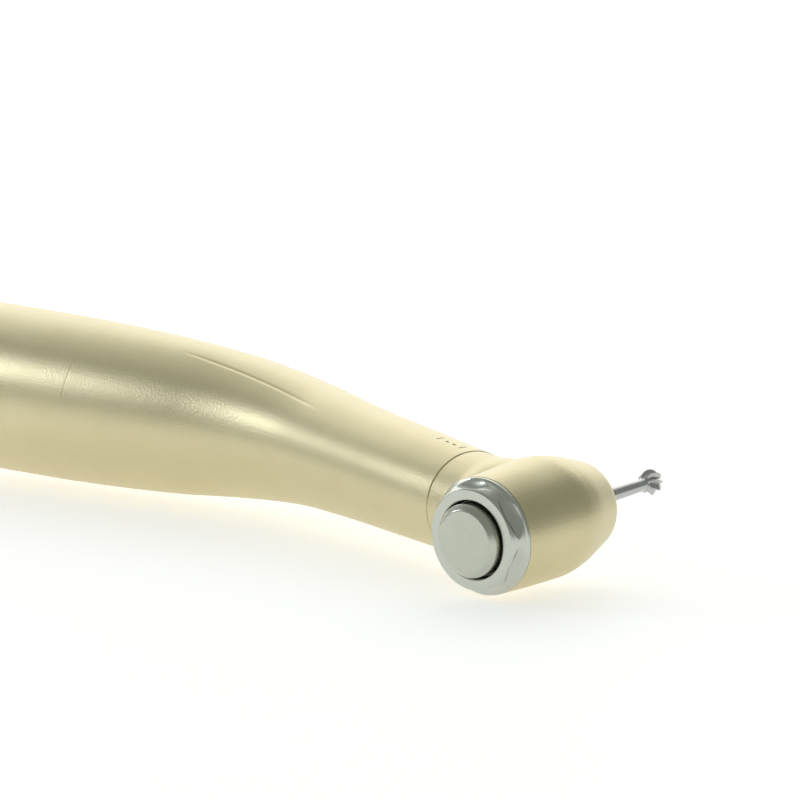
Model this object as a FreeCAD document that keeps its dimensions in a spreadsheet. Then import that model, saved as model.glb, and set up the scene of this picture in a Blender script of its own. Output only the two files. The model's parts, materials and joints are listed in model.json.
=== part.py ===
import FreeCAD, Part
import math
import os
import re

import Sketcher

# A push-button contra-angle handpiece that steps the motor's speed up five times.
#
# Row frame, in millimetres: +X runs along the handle towards the head, -Y is the side of the
# push button, +Y the side of the bur and +Z is up.  The origin is the centre of the motor
# socket's mouth.  The handle's axis, the neck's axis and the head's axis all lie in Z = 0.
#
# Three working frames share that plane, each with its own X along an axis of revolution:
#   handle  X forwards from the socket's mouth,
#   neck    X backwards from the head's centre, along the neck,
#   head    X from the head's centre towards the bur.
# A "station" below is a place along the X of the frame that a piece is turned in.

SIZES = {
    # layout
    "head_x": 97.0,
    "axis_offset": 14.8,
    "neck_angle": 18.5,
    "bend_length": 10.5,
    "spigot_gap": 0.15,
    # outer sleeves
    "sleeve_wall": 0.8,
    "seam_x": 17.0,
    "heel_x": 22.0,
    "palm_x": 27.0,
    "grip_x": 32.0,
    "thumb_x": 37.0,
    "shoulder_neck_station": 31.0,
    "waist_station": 25.5,
    "throat_station": 20.0,
    "lower_throat_station": 14.5,
    "collar_station": 9.05,
    "seam_radius": 9.6,
    "heel_radius": 9.45,
    "palm_radius": 9.24,
    "grip_radius": 8.97,
    "thumb_radius": 8.64,
    "bend_rear_radius": 8.22,
    "bend_third_radius": 7.7,
    "bend_middle_radius": 7.15,
    "bend_second_radius": 6.63,
    "bend_front_radius": 6.18,
    "grip_flat_rear": 34.0,
    "grip_flat_rear_height": 9.37,
    "grip_flat_front": 66.0,
    "grip_flat_front_height": 6.57,
    "grip_flat_arc": 118.0,
    "shoulder_neck_radius": 5.84,
    "waist_radius": 5.58,
    "throat_radius": 5.38,
    "lower_throat_radius": 5.18,
    "collar_radius": 4.95,
    # rear end
    "rear_sleeve_start": 3.0,
    "rear_radius": 9.85,
    "colour_ring_start": 1.0,
    "socket_radius": 7.75,
    "socket_mouth_length": 6.0,
    "socket_inner_radius": 7.25,
    "socket_depth": 17.6,
    "liner_radius": 8.6,
    # head housing
    "head_rear": -5.8,
    "head_radius": 5.8,
    "shoulder_start": 1.8,
    "shoulder_end": 4.27,
    "shoulder_end_radius": 5.41,
    "shoulder_arc": 8.0,
    "dome_start": 8.2,
    "dome_start_radius": 4.13,
    "dome_end": 9.46,
    "dome_end_radius": 2.91,
    "dome_arc": 2.0,
    "nose_station": 9.8,
    "nose_radius": 2.0,
    "stub_radius": 4.88,
    "stub_root_radius": 4.5,
    "stub_blend": 3.0,
    "spigot_length": 2.4,
    "gear_room_radius": 4.15,
    "gear_room_start": 2.2,
    "gear_room_end": 4.3,
    "head_cavity_radius": 3.7,
    "spindle_exit_radius": 1.45,
    # cap and button
    "cap_front": -7.6,
    "cap_face_radius": 4.62,
    "cap_flank_radius": 5.0,
    "cap_flange_radius": 5.3,
    "cap_flange_thickness": 0.35,
    "cap_recess_radius": 3.66,
    "cap_recess_depth": 0.45,
    "cap_lip_radius": 3.12,
    "cap_lip_thickness": 0.35,
    "cap_bore_radius": 3.5,
    "cap_thread_radius": 4.1,
    "cap_thread_end": -3.1,
    "scallop_radius": 2.3,
    "scallop_centre_radius": 6.55,
    "scallop_station": -7.1,
    "button_radius": 3.05,
    "button_front": -8.55,
    "button_flange_radius": 3.4,
    "button_flange_thickness": 0.35,
    "button_edge": 0.35,
    "button_well_radius": 1.7,
    "button_well_floor": -7.35,
    # spindle group
    "spindle_rear": -5.75,
    "spindle_radius": 1.5775,
    "spindle_bore": 1.25,
    "spindle_neck_station": 2.3,
    "spindle_neck_radius": 1.1,
    "spindle_waist_station": 4.0,
    "spindle_waist_radius": 1.05,
    "spindle_hub_end": 5.3,
    "spindle_hub_radius": 1.5,
    "spindle_nose_end": 9.3,
    "spindle_nose_radius": 1.3,
    "spindle_drill_start": 2.5,
    "spindle_drill_length": 6.0,
    "shank_bore": 0.85,
    "collet_start": -2.5,
    "collet_end": 1.9,
    "collet_radius": 1.22,
    "collet_slot": 0.25,
    "pin_top": -7.08,
    "pin_end": -3.0,
    "pin_radius": 0.55,
    "pin_head_radius": 1.0,
    "pin_head_length": 0.5,
    "bur_length": 21.0,
    "bur_tip_station": 20.65,
    "bur_shank_radius": 0.8,
    "bur_taper_station": 9.4,
    "bur_taper_radius": 0.7,
    "bur_neck_radius": 0.6,
    "bur_ball_radius": 1.25,
    "bur_flutes": 8,
    # bearings
    "spindle_bearing_bore": 1.5875,
    "spindle_bearing_outside": 3.175,
    "spindle_bearing_width": 2.38,
    "spindle_ball": 0.5,
    "spindle_front_bearing": 5.4,
    "spindle_rear_bearing": -5.5,
    "mid_bearing_bore": 1.25,
    "mid_bearing_outside": 3.0,
    "mid_bearing_width": 2.6,
    "mid_ball": 0.55,
    "mid_front_bearing": 4.6,
    "mid_rear_bearing": 45.8,
    "drive_bearing_bore": 2.0,
    "drive_bearing_outside": 4.5,
    "drive_bearing_width": 4.0,
    "drive_ball": 0.8,
    "drive_rear_bearing": 19.0,
    "drive_front_bearing": 31.2,
    # gears
    "front_module": 0.4222,
    "rear_module": 0.4,
    "spindle_teeth": 9,
    "front_gear_teeth": 18,
    "rear_pinion_teeth": 10,
    "ring_gear_teeth": 25,
    "pressure_angle": 25.0,
    "tooth_addendum": 0.75,
    "tooth_dedendum": 0.95,
    "tooth_backlash": 0.11,
    "front_face_width": 1.2,
    "gear_blank_radius": 4.03,
    "front_hub_length": 0.55,
    "front_hub_radius": 2.4,
    "rear_face_width": 1.8,
    # shafts and carriers
    "tube_radius": 3.4,
    "tube_start": 4.4,
    "tube_end": 48.8,
    "tube_bore": 2.2,
    "mid_shaft_radius": 1.24,
    "mid_shaft_start": 2.7,
    "carrier_start": 18.2,
    "carrier_end": 35.6,
    "carrier_radius": 6.7,
    "carrier_bore": 3.7,
    "carrier_rear_flange": 8.6,
    "carrier_front_flange": 7.7,
    "carrier_flange_width": 1.8,
    "input_rear": 12.0,
    "input_radius": 1.99,
    "input_bore": 1.3,
    "input_bore_end": 24.0,
    "cup_start": 36.6,
    "cup_floor": 38.4,
    "cup_radius": 5.95,
    "ring_gear_radius": 5.55,
    "dog_tip": 7.0,
    "dog_collar_end": 9.5,
    "dog_collar_radius": 1.7,
    "dog_tang": 1.0,
    "dog_stem_radius": 1.22,
    "dog_stem_end": 18.0,
    # springs and spray pipes
    "button_spring_radius": 2.35,
    "button_spring_wire": 0.11,
    "chuck_spring_radius": 0.86,
    "chuck_spring_wire": 0.1,
    "dog_spring_radius": 0.95,
    "dog_spring_wire": 0.14,
    "pipe_radius": 0.4,
    "pipe_handle_radius": 7.2,
    "pipe_bend_radius": 6.4,
    "pipe_waist_radius": 4.6,
    "pipe_neck_radius": 3.86,
    "pipe_bend_x": 46.5,
    "pipe_waist_station": 38.0,
    "pipe_front_station": 12.8,
}

doc = FreeCAD.newDocument("handpiece")
sheet = doc.addObject("Spreadsheet::Sheet", "Sizes")
for row, (alias, number) in enumerate(SIZES.items(), start=1):
    sheet.set("A%d" % row, alias)
    sheet.set("B%d" % row, str(number))
    sheet.setAlias("B%d" % row, alias)
doc.recompute()

parts = []


# ---------------------------------------------------------------- sizes and frames

def bound(expression):
    """The expression with each driving dimension named as a cell of the sheet."""
    return re.sub(
        r"[a-z][a-z_]*",
        lambda word: "Sizes." + word.group(0) if word.group(0) in SIZES else word.group(0),
        expression,
    )


def size(expression):
    """The expression's present value, in millimetres or degrees."""
    return float(sheet.evalExpression(bound(expression)))


def vector(x, y, z=0.0):
    return FreeCAD.Vector(x, y, z)


def turn_z(degrees):
    return FreeCAD.Rotation(vector(0, 0, 1), degrees)


NECK_ANGLE = math.radians(size("neck_angle"))
HEAD_CENTRE = vector(size("head_x"), -size("axis_offset"))
CROSSING_STATION = size("axis_offset") / math.sin(NECK_ANGLE)
CROSSING_X = size("head_x") - size("axis_offset") / math.tan(NECK_ANGLE)

HANDLE = FreeCAD.Placement()
NECK = FreeCAD.Placement(HEAD_CENTRE, turn_z(180 - size("neck_angle")))
HEAD = FreeCAD.Placement(HEAD_CENTRE, turn_z(90))


# ---------------------------------------------------------------- sketches and bodies

def origin_plane(body, role):
    return next(item for item in body.Origin.OriginFeatures if item.Role == role)


def new_sketch(body, name, role="XY_Plane", offset=None):
    sketch = body.newObject("Sketcher::SketchObject", name)
    sketch.AttachmentSupport = (origin_plane(body, role), [""])
    sketch.MapMode = "FlatFace"
    if offset is not None:
        sketch.AttachmentOffset = offset
    return sketch


def arc_edge(start, end, radius):
    """An arc from start to end: a positive radius turns right, a negative one left."""
    middle = (start + end) * 0.5
    half = (end - start).Length / 2
    along = (end - start).normalize()
    side = vector(along.y, -along.x) if radius > 0 else vector(-along.y, along.x)
    centre = middle + side * math.sqrt(radius * radius - half * half)
    first, last = (end, start) if radius > 0 else (start, end)
    angles = [math.atan2(point.y - centre.y, point.x - centre.x) for point in (first, last)]
    if angles[1] < angles[0]:
        angles[1] += 2 * math.pi
    circle = Part.Circle(centre, vector(0, 0, 1), abs(radius))
    return Part.ArcOfCircle(circle, *angles)


def draw_outline(sketch, outline):
    """A closed outline through corners (x, y), each a sheet expression.

    A corner with a third expression is reached by an arc of that radius, and the others by a
    straight line.  Every corner's place is a constraint bound to the sheet.
    """
    places = [vector(size(corner[0]), size(corner[1])) for corner in outline]
    ends = []
    for index, corner in enumerate(outline):
        start, end = places[index - 1], places[index]
        if len(corner) == 3:
            radius = size(corner[2])
            sketch.addGeometry(arc_edge(start, end, radius))
            ends.append((2, 1) if radius > 0 else (1, 2))
        else:
            sketch.addGeometry(Part.LineSegment(start, end))
            ends.append((1, 2))
    first_edge = sketch.GeometryCount - len(outline)
    rules = []
    bindings = []
    for index, corner in enumerate(outline):
        edge = first_edge + index
        after = first_edge + (index + 1) % len(outline)
        end = ends[index][1]
        rules.append(Sketcher.Constraint(
            "Coincident", edge, end, after, ends[(index + 1) % len(outline)][0]))
        bindings.append(None)
        for kind, axis, expression in (("DistanceX", -2, corner[0]), ("DistanceY", -1, corner[1])):
            if expression == "0":
                rules.append(Sketcher.Constraint("PointOnObject", edge, end, axis))
                bindings.append(None)
            else:
                rules.append(Sketcher.Constraint(kind, -1, 1, edge, end, size(expression)))
                bindings.append(expression)
        if len(corner) == 3:
            rules.append(Sketcher.Constraint("Radius", edge, abs(size(corner[2]))))
            bindings.append("abs(%s)" % corner[2])
    for number, expression in zip(sketch.addConstraint(rules), bindings):
        if expression is not None:
            sketch.setExpression("Constraints[%d]" % number, bound(expression))


def draw_circle(sketch, x, y, radius):
    circle = Part.Circle(vector(size(x), size(y)), vector(0, 0, 1), size(radius))
    edge = sketch.addGeometry(circle)
    number = sketch.addConstraint(Sketcher.Constraint("Radius", edge, size(radius)))
    sketch.setExpression("Constraints[%d]" % number, bound(radius))
    for kind, axis, expression in (("DistanceX", -2, x), ("DistanceY", -1, y)):
        if expression == "0":
            sketch.addConstraint(Sketcher.Constraint("PointOnObject", edge, 3, axis))
        else:
            rule = Sketcher.Constraint(kind, -1, 1, edge, 3, size(expression))
            number = sketch.addConstraint(rule)
            sketch.setExpression("Constraints[%d]" % number, bound(expression))


def new_body(label, frame):
    body = doc.addObject("PartDesign::Body", label)
    body.Label = label
    body.Placement = frame
    parts.append(body)
    return body


def turned(body, name, outline, kind="Revolution", tilt=0.0, spin=0.0):
    """Turns an outline about the body's X axis, or about an axis tilted from it by degrees.

    The spin puts the outline, and so the surface's seam, elsewhere around that axis.
    """
    around = FreeCAD.Rotation(vector(1, 0), spin)
    offset = FreeCAD.Placement(vector(0, 0), turn_z(tilt).multiply(around))
    sketch = new_sketch(body, name + "_outline", offset=offset)
    draw_outline(sketch, outline)
    feature = body.newObject("PartDesign::" + kind, name)
    feature.Profile = sketch
    feature.ReferenceAxis = (sketch, ["H_Axis"])
    feature.Angle = 360
    sketch.Visibility = False
    return feature


def turned_part(label, frame, outline):
    body = new_body(label, frame)
    turned(body, label + "_turn", outline)
    return body


def ring_outline(start, end, inner, outer):
    return [(start, inner), (start, outer), (end, outer), (end, inner)]


def polar(body, feature, count, axis="X_Axis"):
    pattern = body.newObject("PartDesign::PolarPattern", feature.Name + "_pattern")
    pattern.Originals = [feature]
    pattern.Axis = (origin_plane(body, axis), [""])
    pattern.Angle = 360
    pattern.Occurrences = int(count)
    body.Tip = pattern
    return pattern


# ---------------------------------------------------------------- outer sleeves

def sleeve_stations():
    """Centre, direction and radius of each cross section, from the seam forwards.

    The centre line is the handle's axis, an arc that meets both axes at a tangent, and the
    neck's axis.
    """
    stations = [
        (vector(size(name + "_x"), 0), 0.0, name + "_radius")
        for name in ("seam", "heel", "palm", "grip", "thumb")
    ]
    reach = size("bend_length")
    arc_radius = reach / math.tan(NECK_ANGLE / 2)
    arc_start = vector(CROSSING_X - reach, 0)
    arc_names = ("bend_rear_radius", "bend_third_radius", "bend_middle_radius",
                 "bend_second_radius", "bend_front_radius")
    for index, radius in enumerate(arc_names):
        angle = NECK_ANGLE * index / (len(arc_names) - 1)
        along = arc_radius * math.sin(angle)
        down = arc_radius * (1 - math.cos(angle))
        stations.append((arc_start + vector(along, -down), -math.degrees(angle), radius))
    for name in ("shoulder_neck", "waist", "throat", "lower_throat", "collar"):
        centre = NECK.multVec(vector(size(name + "_station"), 0))
        stations.append((centre, -size("neck_angle"), name + "_radius"))
    return stations


def lofted(body, name, kind, inset):
    """A loft through the sleeve's cross sections, each made smaller by the inset."""
    sketches = []
    for index, (centre, angle, radius) in enumerate(sleeve_stations()):
        spin = FreeCAD.Rotation(vector(0, 1), angle)
        offset = FreeCAD.Placement(FreeCAD.Vector(centre.y, 0, centre.x), spin)
        sketch = new_sketch(body, "%s_section_%d" % (name, index), "YZ_Plane", offset)
        draw_circle(sketch, "0", "0", radius + inset)
        sketch.Visibility = False
        sketches.append(sketch)
    loft = body.newObject("PartDesign::" + kind, name)
    loft.Profile = sketches[0]
    loft.Sections = sketches[1:]
    loft.Ruled = False
    return loft


def make_sleeves():
    sleeve = new_body("neck_sleeve", HANDLE)
    lofted(sleeve, "neck_sleeve_skin", "AdditiveLoft", "")
    flat = new_sketch(sleeve, "grip_flat_outline", "XZ_Plane")
    draw_outline(flat, [
        ("grip_flat_rear", "seam_radius + 2"),
        ("grip_flat_rear", "grip_flat_rear_height"),
        ("grip_flat_front", "grip_flat_front_height", "-grip_flat_arc"),
        ("grip_flat_front", "seam_radius + 2"),
    ])
    facet = sleeve.newObject("PartDesign::Pocket", "grip_flat")
    facet.Profile = flat
    facet.Type = "Length"
    facet.setExpression("Length", bound("4 * seam_radius"))
    facet.Midplane = True
    doc.recompute()
    mirror = sleeve.newObject("PartDesign::Mirrored", "grip_flat_mirrored")
    mirror.Originals = [facet]
    mirror.MirrorPlane = (origin_plane(sleeve, "XY_Plane"), [""])
    sleeve.Tip = mirror
    doc.recompute()
    lofted(sleeve, "neck_sleeve_hollow", "SubtractiveLoft", " - sleeve_wall")

    turned_part("rear_sleeve", HANDLE, [
        ("rear_sleeve_start", "liner_radius + 0.03"),
        ("rear_sleeve_start", "rear_radius - 0.15"),
        ("rear_sleeve_start + 0.15", "rear_radius"),
        ("seam_x - 0.12", "seam_radius", "400"),
        ("seam_x - 0.02", "seam_radius - 0.1"),
        ("seam_x - 0.02", "liner_radius + 0.03"),
    ])
    turned_part("colour_ring", HANDLE, [
        ("colour_ring_start", "liner_radius + 0.03"),
        ("colour_ring_start", "rear_radius - 0.35"),
        ("colour_ring_start + 0.3", "rear_radius - 0.1"),
        ("rear_sleeve_start - 0.02", "rear_radius - 0.1"),
        ("rear_sleeve_start - 0.02", "liner_radius + 0.03"),
    ])
    turned_part("socket_liner", HANDLE, [
        ("0", "socket_radius"),
        ("0", "rear_radius - 0.8"),
        ("0.3", "rear_radius - 0.45"),
        ("colour_ring_start - 0.02", "rear_radius - 0.45"),
        ("colour_ring_start - 0.02", "liner_radius"),
        ("socket_depth", "liner_radius"),
        ("socket_depth", "socket_inner_radius"),
        ("socket_mouth_length", "socket_inner_radius"),
        ("socket_mouth_length", "socket_radius"),
    ])


# ---------------------------------------------------------------- head

def make_head():
    head = new_body("head_housing", HEAD)
    turned(head, "head_shell", [
        ("head_rear", "0"),
        ("head_rear", "head_radius - 0.25"),
        ("head_rear + 0.25", "head_radius"),
        ("shoulder_start", "head_radius"),
        ("shoulder_end", "shoulder_end_radius", "shoulder_arc"),
        ("dome_start", "dome_start_radius"),
        ("dome_end", "dome_end_radius", "dome_arc"),
        ("nose_station", "nose_radius"),
        ("nose_station", "0"),
    ], spin=180)
    stub_tilt = 90 - size("neck_angle")
    turned(head, "head_stub", [
        ("1", "0"),
        ("1", "stub_root_radius"),
        ("collar_station - 0.15", "stub_radius"),
        ("collar_station - 0.03", "stub_radius - 0.12"),
        ("collar_station - 0.03", "0"),
    ], tilt=stub_tilt)
    doc.recompute()
    stub = head.Tip
    seams = ["Edge%d" % (number + 1) for number, edge in enumerate(stub.Shape.Edges)
             if edge.Curve.TypeId == "Part::GeomBSplineCurve"]
    blend = head.newObject("PartDesign::Fillet", "head_blend")
    blend.Base = (stub, seams)
    blend.setExpression("Radius", bound("stub_blend"))
    doc.recompute()
    spigot_end = "collar_station + spigot_length"
    turned(head, "head_spigot", [
        ("collar_station - 0.5", "0"),
        ("collar_station - 0.5", "collar_radius - sleeve_wall - spigot_gap"),
        (spigot_end, "collar_radius - sleeve_wall - spigot_gap"),
        (spigot_end, "0"),
    ], tilt=stub_tilt)
    turned(head, "head_bore", [
        ("head_rear - 1", "0"),
        ("head_rear - 1", "cap_thread_radius + 0.02"),
        ("cap_thread_end + 0.05", "cap_thread_radius + 0.02"),
        ("cap_thread_end + 0.05", "head_cavity_radius"),
        ("spindle_front_bearing - 0.2", "head_cavity_radius"),
        ("spindle_front_bearing - 0.2", "spindle_bearing_outside + 0.01"),
        ("spindle_front_bearing + 0.7", "spindle_bearing_outside + 0.01"),
        ("spindle_front_bearing + 0.7", "spindle_bearing_outside + 0.4"),
        ("spindle_front_bearing + 1.3", "spindle_bearing_outside + 0.4"),
        ("spindle_front_bearing + 1.3", "spindle_bearing_outside + 0.01"),
        ("spindle_front_bearing + spindle_bearing_width", "spindle_bearing_outside + 0.01"),
        ("spindle_front_bearing + spindle_bearing_width", "spindle_exit_radius"),
        ("nose_station + 1", "spindle_exit_radius"),
        ("nose_station + 1", "0"),
    ], kind="Groove")
    turned(head, "neck_bore", [
        ("gear_room_start", "0"),
        ("gear_room_start", "gear_room_radius"),
        ("gear_room_end", "gear_room_radius"),
        ("gear_room_end", "tube_radius + 0.02"),
        (spigot_end + " + 1", "tube_radius + 0.02"),
        (spigot_end + " + 1", "0"),
    ], kind="Groove", tilt=stub_tilt)


def make_cap():
    cap = new_body("head_cap", HEAD)
    flange = "head_rear - cap_flange_thickness"
    turned(cap, "cap_turn", [
        ("cap_front", "cap_recess_radius + 0.1"),
        ("cap_front", "cap_face_radius - 0.12"),
        ("cap_front + 0.12", "cap_face_radius"),
        (flange, "cap_flank_radius"),
        (flange, "cap_flange_radius - 0.1"),
        (flange + " + 0.1", "cap_flange_radius"),
        ("head_rear - 0.02", "cap_flange_radius"),
        ("head_rear - 0.02", "cap_thread_radius"),
        ("cap_thread_end", "cap_thread_radius"),
        ("cap_thread_end", "spindle_bearing_outside + 0.01"),
        ("spindle_rear_bearing + 1.5", "spindle_bearing_outside + 0.01"),
        ("spindle_rear_bearing + 1.5", "spindle_bearing_outside + 0.4"),
        ("spindle_rear_bearing + 0.9", "spindle_bearing_outside + 0.4"),
        ("spindle_rear_bearing + 0.9", "spindle_bearing_outside + 0.01"),
        ("spindle_rear_bearing - 0.02", "spindle_bearing_outside + 0.01"),
        ("spindle_rear_bearing - 0.02", "cap_bore_radius"),
        ("cap_front + cap_recess_depth + cap_lip_thickness", "cap_bore_radius"),
        ("cap_front + cap_recess_depth + cap_lip_thickness", "cap_lip_radius"),
        ("cap_front + cap_recess_depth", "cap_lip_radius"),
        ("cap_front + cap_recess_depth", "cap_recess_radius"),
        ("cap_front + 0.1", "cap_recess_radius"),
    ])
    scallop = cap.newObject("PartDesign::SubtractiveSphere", "cap_scallop")
    scallop.AttachmentSupport = (origin_plane(cap, "XY_Plane"), [""])
    scallop.MapMode = "FlatFace"
    scallop.setExpression("AttachmentOffset.Base.x", bound("scallop_station"))
    scallop.setExpression("AttachmentOffset.Base.y", bound("scallop_centre_radius"))
    scallop.setExpression("Radius", bound("scallop_radius"))
    doc.recompute()
    polar(cap, scallop, 6)

    flange_front = "cap_front + cap_recess_depth + cap_lip_thickness + 0.03"
    turned_part("push_button", HEAD, [
        ("button_front", "0"),
        ("button_front", "button_radius - button_edge"),
        ("button_front + button_edge", "button_radius"),
        (flange_front, "button_radius"),
        (flange_front, "button_flange_radius"),
        (flange_front + " + button_flange_thickness", "button_flange_radius"),
        (flange_front + " + button_flange_thickness", "button_well_radius"),
        ("button_well_floor", "button_well_radius"),
        ("button_well_floor", "0"),
    ])


# ---------------------------------------------------------------- ball bearings

def make_bearing(label, kind, station, frame):
    """Outer race, inner race, and the cage with its balls, whose grooves clear the balls."""
    bore = kind + "_bearing_bore"
    outside = kind + "_bearing_outside"
    start = station
    end = "%s + %s_bearing_width" % (station, kind)
    middle = "(%s + %s_bearing_width / 2)" % (station, kind)
    ball = kind + "_ball"
    pitch = "((%s + %s) / 2)" % (bore, outside)
    groove = "(%s + 0.03)" % ball
    land = "%s * 0.6" % ball
    half = "sqrt(%s ^ 2 - (%s) ^ 2)" % (groove, land)
    outer_land = "%s + %s" % (pitch, land)
    inner_land = "%s - %s" % (pitch, land)
    turned_part(label + "_outer_race", frame, [
        (start, outer_land),
        (start, outside),
        (end, outside),
        (end, outer_land),
        ("%s + %s" % (middle, half), outer_land),
        ("%s - %s" % (middle, half), outer_land, "-" + groove),
    ])
    turned_part(label + "_inner_race", frame, [
        (end, inner_land),
        (end, bore),
        (start, bore),
        (start, inner_land),
        ("%s - %s" % (middle, half), inner_land),
        ("%s + %s" % (middle, half), inner_land, "-" + groove),
    ])
    cage = new_body(label + "_ball_cage", frame)
    cage_half = "%s * 1.25" % ball
    cage_wall = "%s * 0.3" % ball
    turned(cage, label + "_cage_ring", ring_outline(
        "%s - %s" % (middle, cage_half), "%s + %s" % (middle, cage_half),
        "%s - %s" % (pitch, cage_wall), "%s + %s" % (pitch, cage_wall)))
    sphere = cage.newObject("PartDesign::AdditiveSphere", label + "_ball")
    sphere.AttachmentSupport = (origin_plane(cage, "XY_Plane"), [""])
    sphere.MapMode = "FlatFace"
    sphere.setExpression("AttachmentOffset.Base.x", bound(middle))
    sphere.setExpression("AttachmentOffset.Base.y", bound(pitch))
    sphere.setExpression("Radius", bound(ball))
    doc.recompute()
    polar(cage, sphere, 7)


# ---------------------------------------------------------------- bevel gears

def involute(angle):
    return math.tan(angle) - angle


def tooth_flank(teeth, cone, module, internal):
    """Half widths of a tooth, or of an internal gear's tooth space, from root to tip.

    Heights are measured on the back cone, whose developed gear has teeth / cos(cone) teeth.
    Returns (cone angle of the point, half angle about the gear's own axis) pairs.
    """
    pitch = module * teeth / 2
    distance = pitch / math.sin(cone)
    developed = pitch / math.cos(cone)
    pressure = math.radians(size("pressure_angle"))
    base = developed * math.cos(pressure)
    play = size("tooth_backlash") / 2
    half_pitch_angle = math.pi * module / 4 / developed
    half_pitch_angle += (play if internal else -play) / 2 / developed
    addendum = size("tooth_addendum") * module
    dedendum = size("tooth_dedendum") * module
    if internal:
        heights = [-addendum, -addendum / 2, 0.0, dedendum / 2, dedendum]
    else:
        heights = [-dedendum, -addendum / 2, 0.0, addendum / 2, addendum]
    flank = []
    for height in heights:
        reach = max(developed + height, base)
        at_point = math.acos(base / reach)
        half = half_pitch_angle + involute(pressure) - involute(at_point)
        flank.append((cone + math.atan(height / distance), half / math.cos(cone)))
    return flank


def gear_outline(teeth, flank, axial, first_angle):
    """The closed outline of all teeth, or all spaces, in the plane at that axial distance."""
    points = []
    for number in range(teeth):
        centre = first_angle + 2 * math.pi * number / teeth
        rising = [(angle, centre - half) for angle, half in flank]
        falling = [(angle, centre + half) for angle, half in reversed(flank)]
        for cone_angle, around in rising + falling:
            radius = abs(axial) * math.tan(cone_angle)
            points.append(FreeCAD.Vector(axial, radius * math.cos(around),
                                         radius * math.sin(around)))
    return Part.makePolygon(points + points[:1])


def bevel_body(teeth, module, mate_teeth, shaft_angle, face_width, phase, internal=False):
    """The toothed cone between its two end planes, with its apex at the frame's origin.

    The flanks are straight lines to the apex.  The solid lies on the +X side of the apex.
    """
    cone = math.atan2(math.sin(shaft_angle), mate_teeth / teeth + math.cos(shaft_angle))
    distance = module * teeth / 2 / math.sin(cone)
    outer = distance * math.cos(cone)
    inner = outer * (distance - face_width) / distance
    flank = tooth_flank(teeth, cone, module, internal)
    first_angle = phase * math.pi / teeth
    wires = [gear_outline(teeth, flank, axial, first_angle) for axial in (inner, outer)]
    return Part.makeLoft(wires, True, True), inner, outer


def feature(label, shape, frame):
    part = doc.addObject("Part::Feature", label)
    part.Shape = shape
    part.Label = label
    part.Placement = frame
    return part


def along_x(start, end, radius):
    return Part.makeCylinder(radius, end - start, vector(start, 0), vector(1, 0))


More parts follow.
